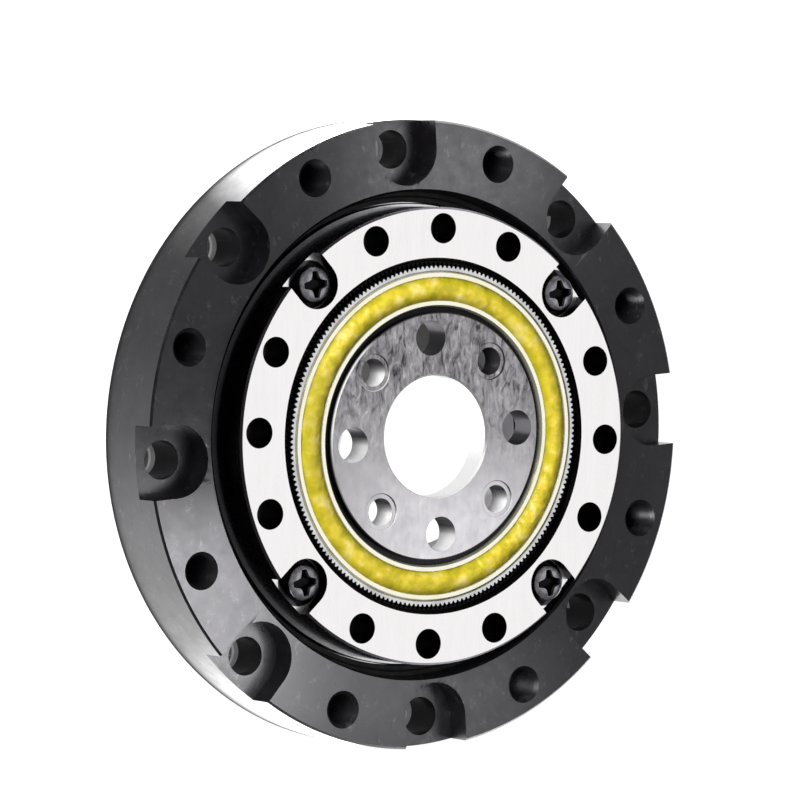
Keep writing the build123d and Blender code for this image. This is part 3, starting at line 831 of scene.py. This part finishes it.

# %% [markdown]
# Light falling into the bores from above is painted on: the lower walls of the holes on the
# low side and the whole middle bore are painted nearly white, while the other walls stay grey.
# The painted white hole walls are matt, so they are less metallic. The shoulder round the boss
# is painted near black as painted shade.

# %% Ground steel, its bores and shoulder
normal = coords.node.outputs["Normal"]
wall = remap(tree, part_of(tree, normal, "Z"), 1.0, 0.0, 0.75, 0.92)
facing_up = remap(tree, part_of(tree, normal, "Y"), 0.0, 1.0, -0.45, 0.05)
downward = add(tree, "ShaderNodeVectorMath", {0: coords, 1: (-0.6, -0.8, 0)},
               operation="DOT_PRODUCT")
low_side = beyond(tree, downward.outputs["Value"], -3, -1)
painted_light_holes = math(tree, "MULTIPLY", low_side, facing_up)
radius = from_axis(tree, coords)
# Painted light: the lit hole walls and the middle bore are painted nearly white.
white = math(tree, "MAXIMUM", painted_light_holes, within(tree, radius, 5.2, 5.3))
bored = mix(tree, wall, face_tone, mix(tree, white, linear("68666b"), linear("fafafa")))
# Painted shade: the shoulder round the boss is painted near black.
below_face = within(tree, part_of(tree, coords, "Z"), 9.1, 9.3)
shoulder = math(tree, "MULTIPLY", below_face, beyond(tree, radius, 9.65, 9.7))
matt = math(tree, "MULTIPLY", wall, painted_light_holes)
drive(tree, shader, Base_Color=mix(tree, shoulder, bored, linear("1b1a1d")),
      Metallic=remap(tree, matt, 0.95, 0.1, 0.0, 1.0))
print("ground steel made")

# %% [markdown]
# The thin hat is heat treated and keeps a grey haze. The races are bearing steel under a film
# of grease that tints them cream and shines wet, which is why a coat lies over a rougher base.
# Balls, rollers and their inner ring are polished, so they are the sharpest mirrors.

# %% Hat, races and rolling pieces
GREASED = {"Metallic": 0.8, "Coat_Weight": 0.6, "Coat_Roughness": 0.12}
flex_steel = drifting("heat treated flexspline steel", 1.2, 5.0,
                      [(0.3, "b9b9bb"), (0.7, "e6e6e7")], (0.22, 0.34), Metallic=1.0)
race_steel = drifting("bearing steel under a film of grease", 1.6, 4.0,
                      [(0.3, "f3efce"), (0.7, "fffdf0")], (0.18, 0.32), **GREASED)
bearing_steel = drifting("hardened and polished bearing steel", 0.8, 3.0,
                         [(0.3, "c4c4c7"), (0.7, "d8d8da")], (0.08, 0.16), Metallic=1.0)
print("bearing steels made")

# %% [markdown]
# Grease is translucent and wet. Light goes a little way in and comes out deeper in colour, so
# the body is yellow with some scattering. The lumps are lighter. Low on its slopes the layer is
# thin and the dark metal below turns it olive, and that olive also paints the shade of the
# slopes. On the left the olive is painted shade.

# %% Grease finish
grease_gloss, tree, shader, coords = start("glossy lumpy yellow grease", Roughness=0.24,
                                           Specular_IOR_Level=0.35, Subsurface_Weight=0.2,
                                           Subsurface_Scale=0.0004)
smears = noise(tree, coords, 1.3, 4.0, 0.55)
yellow = ramp(tree, smears, [(0.36, "c3b41a"), (0.54, "e6cf34"), (0.66, "f2e07e")])
# Painted shade: olive on the low slopes, partly thin grease, and on the left side of the ring.
thin_and_shaded_slope = remap(tree, part_of(tree, coords, "Z"), 0.85, 0.0, 9.12 * MM, 9.52 * MM)
left = remap(tree, part_of(tree, coords, "X"), 0.5, 0.0, -12.5 * MM, -9.5 * MM)
olive_tint_and_shade = mix(tree, math(tree, "MAXIMUM", thin_and_shaded_slope, left), yellow, linear("8f8a12"))
drive(tree, shader, Base_Color=olive_tint_and_shade)
bump(tree, shader, noise(tree, coords, 0.6, 4.0), 0.06, 0.7)
print("grease made")

# %% [markdown]
# Blackened screws are nearly black in their pockets. Handling has rubbed the tops of their
# heads, so the worn tone starts at the height where the head rounds over.

# %% Black screws
black_screw, tree, shader, coords = start("blackened alloy steel screw", Metallic=0.9)
wear = noise(tree, coords, 0.5, 4.0)
worn = ramp(tree, wear, [(0.35, "75737a"), (0.7, "a9a7ac")])
on_top = beyond(tree, part_of(tree, coords, "Z"), 8.95, 9.12)
drive(tree, shader, Base_Color=mix(tree, on_top, linear("0c0b0e"), worn),
      Roughness=remap(tree, wear, 0.18, 0.32))
print("screw finish made")

# %% [markdown]
# The other small parts: turned steel with a fine grain for the plug's pin, dusty matt rubber
# for the seal, and nylon for the ball cage and the roller spacers. Nylon lets light in a
# little, so its edges glow instead of going dark.

# %% Turned steel, rubber and nylon
turned_steel = drifting("plain turned steel", 0.3, 3.0, [(0.3, "8f8f92"), (0.7, "a9a9ab")],
                        (0.25, 0.4), Metallic=1.0)
rubber = drifting("matt nitrile rubber", 0.8, 4.0, [(0.3, "070707"), (0.75, "121212")], (0.5, 0.7))
nylon = drifting("natural moulded nylon", 1.5, 3.0, [(0.3, "cfc59f"), (0.7, "e2dabb")],
                 (0.38, 0.5), Subsurface_Weight=0.2, Subsurface_Scale=0.0006)
print("small finishes made")

# %% [markdown]
# Each slot of the record now gets its finish, on the refined pieces and on the CAD nodes
# that stay visible.

# %% Give every piece its finish
finish = {
    "black_oxide_steel": black_oxide,
    "bright_steel": bright_steel,
    "ground_steel": ground_steel,
    "flexspline_steel": flex_steel,
    "race_steel": race_steel,
    "bearing_steel": bearing_steel,
    "screw_steel": turned_steel,
    "black_screw_steel": black_screw,
    "seal_rubber": rubber,
    "cage_plastic": nylon,
    "yellow_grease": grease_gloss,
}
for node, slot in slot_of.items():
    for piece in (frame["nodes"][node], fine.get(node, (None,))[0]):
        if piece is not None:
            piece.data.materials.clear()
            piece.data.materials.append(finish[slot])
print("finishes given:", len(slot_of))

# %% [markdown]
# The gear lies on its back on a white table, and the picture is taken with a long lens from
# the left and above. The place and the turn of the camera were solved from the circles of
# holes in the photograph.

# %% Camera
LENS_MM = 243.86
CAMERA_AT = (-248.34, 12.35, 378.99)
camera_data = bpy.data.cameras.new("camera")
camera_data.sensor_width = 36
camera_data.lens = LENS_MM
camera_data.clip_start = 0.01
camera = bpy.data.objects.new("camera", camera_data)
bpy.context.scene.collection.objects.link(camera)
right = Vector((0.83370, 0.03639, 0.55101))
up = Vector((-0.01861, 0.99911, -0.03783))
back = Vector((-0.55190, 0.02129, 0.83364))
turn = Matrix((right, up, back)).transposed().to_4x4()
camera.matrix_world = Matrix.Translation(Vector(CAMERA_AT) * MM) @ turn
bpy.context.scene.camera = camera
print("camera distance", round(camera.location.length, 3), "m")

# %% [markdown]
# A metal part is lit by what it mirrors. The front faces mirror a large soft box that stands
# opposite the camera, and two narrow boxes put the streaks on the rim. The matt surfaces get
# their light from a body light that nothing mirrors.

# %% Table and soft boxes
bpy.ops.object.select_all(action="DESELECT")
bpy.ops.mesh.primitive_plane_add(size=3.0, location=(0, 0, -0.00002))
table = bpy.context.object
table.name = "table"


def soft_box(name, place_at, size, glow, for_shine=True, for_body=True, aimed=True):
    """A soft light. Its glow is the brightness of its face; it lights shine, body or both."""
    data = bpy.data.lights.new(name, "AREA")
    data.shape = "RECTANGLE"
    data.size, data.size_y = size
    data.energy = glow * pi * size[0] * size[1]
    box = bpy.data.objects.new(name, data)
    bpy.context.scene.collection.objects.link(box)
    box.location = Vector(place_at)
    if aimed:
        box.rotation_euler = (-box.location).to_track_quat("-Z", "Y").to_euler()
    box.visible_camera = False
    box.visible_glossy = for_shine
    box.visible_diffuse = for_body
    return box


soft_box("mirror box", (0.35, -0.013, 0.53), (0.6, 0.6), 0.72, for_body=False)
soft_box("body light", (-0.45, 0.25, 0.36), (0.4, 0.4), 6.4, for_shine=False)
soft_box("left edge strip", (-0.5, 0.28, 0.3), (0.03, 0.4), 2.5, for_body=False)
soft_box("top edge strip", (0.1, 0.6, 0.35), (0.4, 0.04), 2.5, for_body=False)
print("table and soft boxes placed")

# %% [markdown]
# The black ring is brighter at its lower left than at its right, and the hub and the grease
# have bright places of their own. A soft box for each one stands where that place mirrors it.
# It lights one piece only, as black cards would see to in a studio.

# %% Sheens on single pieces
SHEEN_HEIGHT = 22.0


def light_only(box, piece):
    """Keeps a soft box to one piece, as black cards beside it would."""
    lit = bpy.data.collections.new(box.name)
    lit.objects.link(piece)
    box.light_linking.receiver_collection = lit


def sheen(name, middle, size, glow, piece):
    """A low soft box whose mirror image covers one area of one piece, in millimetres."""
    above = Vector((-back.x / back.z, -back.y / back.z, 1)) * SHEEN_HEIGHT
    spot = Vector((middle[0], middle[1], FRONT_Z)) + above
    box = soft_box(name, spot * MM, [side * MM for side in size], glow, for_body=False, aimed=False)
    light_only(box, piece)


sheen("lower left sheen", (-22, -16.5), (20, 19), 19.5, outer_ring)
sheen("bottom sheen", (1, -24), (26, 12), 4.0, outer_ring)
sheen("top sheen", (4, 24), (20, 12), 6.5, outer_ring)
sheen("hub sheen", (2, -10), (18, 12), 1.5, hub)
glint = soft_box("grease glint", (-0.06, 0.12, 0.3), (0.07, 0.07), 14.0, for_body=False)
light_only(glint, grease)
print("sheens placed")

# %% [markdown]
# The room is a dome of light. The camera sees it white, as the cut out photograph is. Matt
# surfaces get an even grey light from it. Mirrors see it dark at the height of the table and
# brighter above and below, which gives the round walls their long shading.

# %% World
BODY_LIGHT = 0.3
DOME_LIGHT = 0.42
world = bpy.data.worlds.new("studio")
world.use_nodes = True
tree = world.node_tree
tree.nodes.clear()
path = add(tree, "ShaderNodeLightPath")
upward = part_of(tree, add(tree, "ShaderNodeTexCoord").outputs["Generated"], "Z")
dome = remap(tree, math(tree, "ABSOLUTE", upward), 0.03, DOME_LIGHT, 0.0, 1.0)
for_body = add(tree, "ShaderNodeMix", {"Factor": path.outputs["Is Glossy Ray"],
                                       "A": BODY_LIGHT, "B": dome}).outputs["Result"]
for_eye = add(tree, "ShaderNodeMix", {"Factor": path.outputs["Is Camera Ray"],
                                      "A": for_body, "B": 1.0}).outputs["Result"]
sky = add(tree, "ShaderNodeBackground", {"Strength": for_eye}, Color=(1, 1, 1, 1))
add(tree, "ShaderNodeOutputWorld", {"Surface": sky.outputs[0]})
bpy.context.scene.world = world
bpy.context.scene.view_settings.view_transform = "Standard"
print("world made")

# %% [markdown]
# The table is white to the camera, but what the rim mirrors of it is darker in the middle and
# bright above and below, which is how the rim looks in the photograph. Bands round the gear
# do that. Their places run from 0 at the bottom of the picture to 1 at its top. One bright
# spot lies below the hub, for the walls of its holes.

# %% What the metal mirrors of the table
RIM_BANDS = ((0.07, 0.5), (0.15, 0.27), (0.24, 0.24), (0.33, 0.25), (0.41, 0.19), (0.5, 0.13),
             (0.65, 0.07), (0.78, 0.05), (0.87, 0.12), (0.95, 0.9))
RIM_GLOW = 13.0
LEAST_GLOW = 0.17
SOFT_EDGE = 0.3
table_white = bpy.data.materials.new("white studio table")
table_white.use_nodes = True
tree = table_white.node_tree
tree.nodes.clear()
coords = add(tree, "ShaderNodeTexCoord").outputs["Object"]
reach = distance(tree, coords, (0, 0, 0))


def bright_spot(x, y, radius, strength):
    """A round bright spot on the table, in millimetres, with a soft edge."""
    away = distance(tree, coords, (x * MM, y * MM, 0))
    inner, outer = (radius - SOFT_EDGE) * MM, (radius + SOFT_EDGE) * MM
    return remap(tree, away, strength, 0.0, inner, outer)


side = math(tree, "DIVIDE", part_of(tree, coords, "Y"), reach)
bands = ramp(tree, remap(tree, side, 0.0, 1.0, -1.0, 1.0), RIM_BANDS)
round_gear = math(tree, "MULTIPLY", bands, beyond(tree, reach, 26.15, 26.5))
rim_glow = math(tree, "MULTIPLY", round_gear, RIM_GLOW)
strength = math(tree, "ADD", rim_glow, bright_spot(0, -1.5, 7, 1.4))
strength = math(tree, "MAXIMUM", strength, LEAST_GLOW)
mirrored = add(tree, "ShaderNodeEmission", {"Strength": strength})
print("mirrored bands:", len(RIM_BANDS))

# %% [markdown]
# To the camera the table glows white all round the gear and through the middle bore, so that
# it melts into the white room. Seen from below it is clear, and so is the part that touches
# the gear, or the back of the gear would lie in the dark.

# %% What the camera sees of the table
paint = add(tree, "ShaderNodeBsdfDiffuse", Color=linear("e8e8e8"))
open_table = math(tree, "MAXIMUM", remap(tree, reach, 0.0, 0.85, 25.6 * MM, 25.9 * MM),
                  bright_spot(5.5, -3, 9.1, 1.0))
glow = add(tree, "ShaderNodeEmission", {"Strength": open_table})
lit = add(tree, "ShaderNodeAddShader", {0: paint.outputs[0], 1: glow.outputs[0]})
path = add(tree, "ShaderNodeLightPath")
for_glossy = add(tree, "ShaderNodeMixShader", {"Fac": path.outputs["Is Glossy Ray"],
                                               1: paint.outputs[0], 2: mirrored.outputs[0]})
for_camera = add(tree, "ShaderNodeMixShader", {"Fac": path.outputs["Is Camera Ray"],
                                               1: for_glossy.outputs[0], 2: lit.outputs[0]})
side_seen = add(tree, "ShaderNodeNewGeometry").outputs["Backfacing"]
touching = within(tree, path.outputs["Ray Length"], 0.4, 0.5)
clear = add(tree, "ShaderNodeBsdfTransparent")
from_below = add(tree, "ShaderNodeMixShader", {"Fac": math(tree, "MAXIMUM", side_seen, touching),
                                               1: for_camera.outputs[0], 2: clear.outputs[0]})
add(tree, "ShaderNodeOutputMaterial", {"Surface": from_below.outputs[0]})
table.data.materials.append(table_white)
print("table finished")
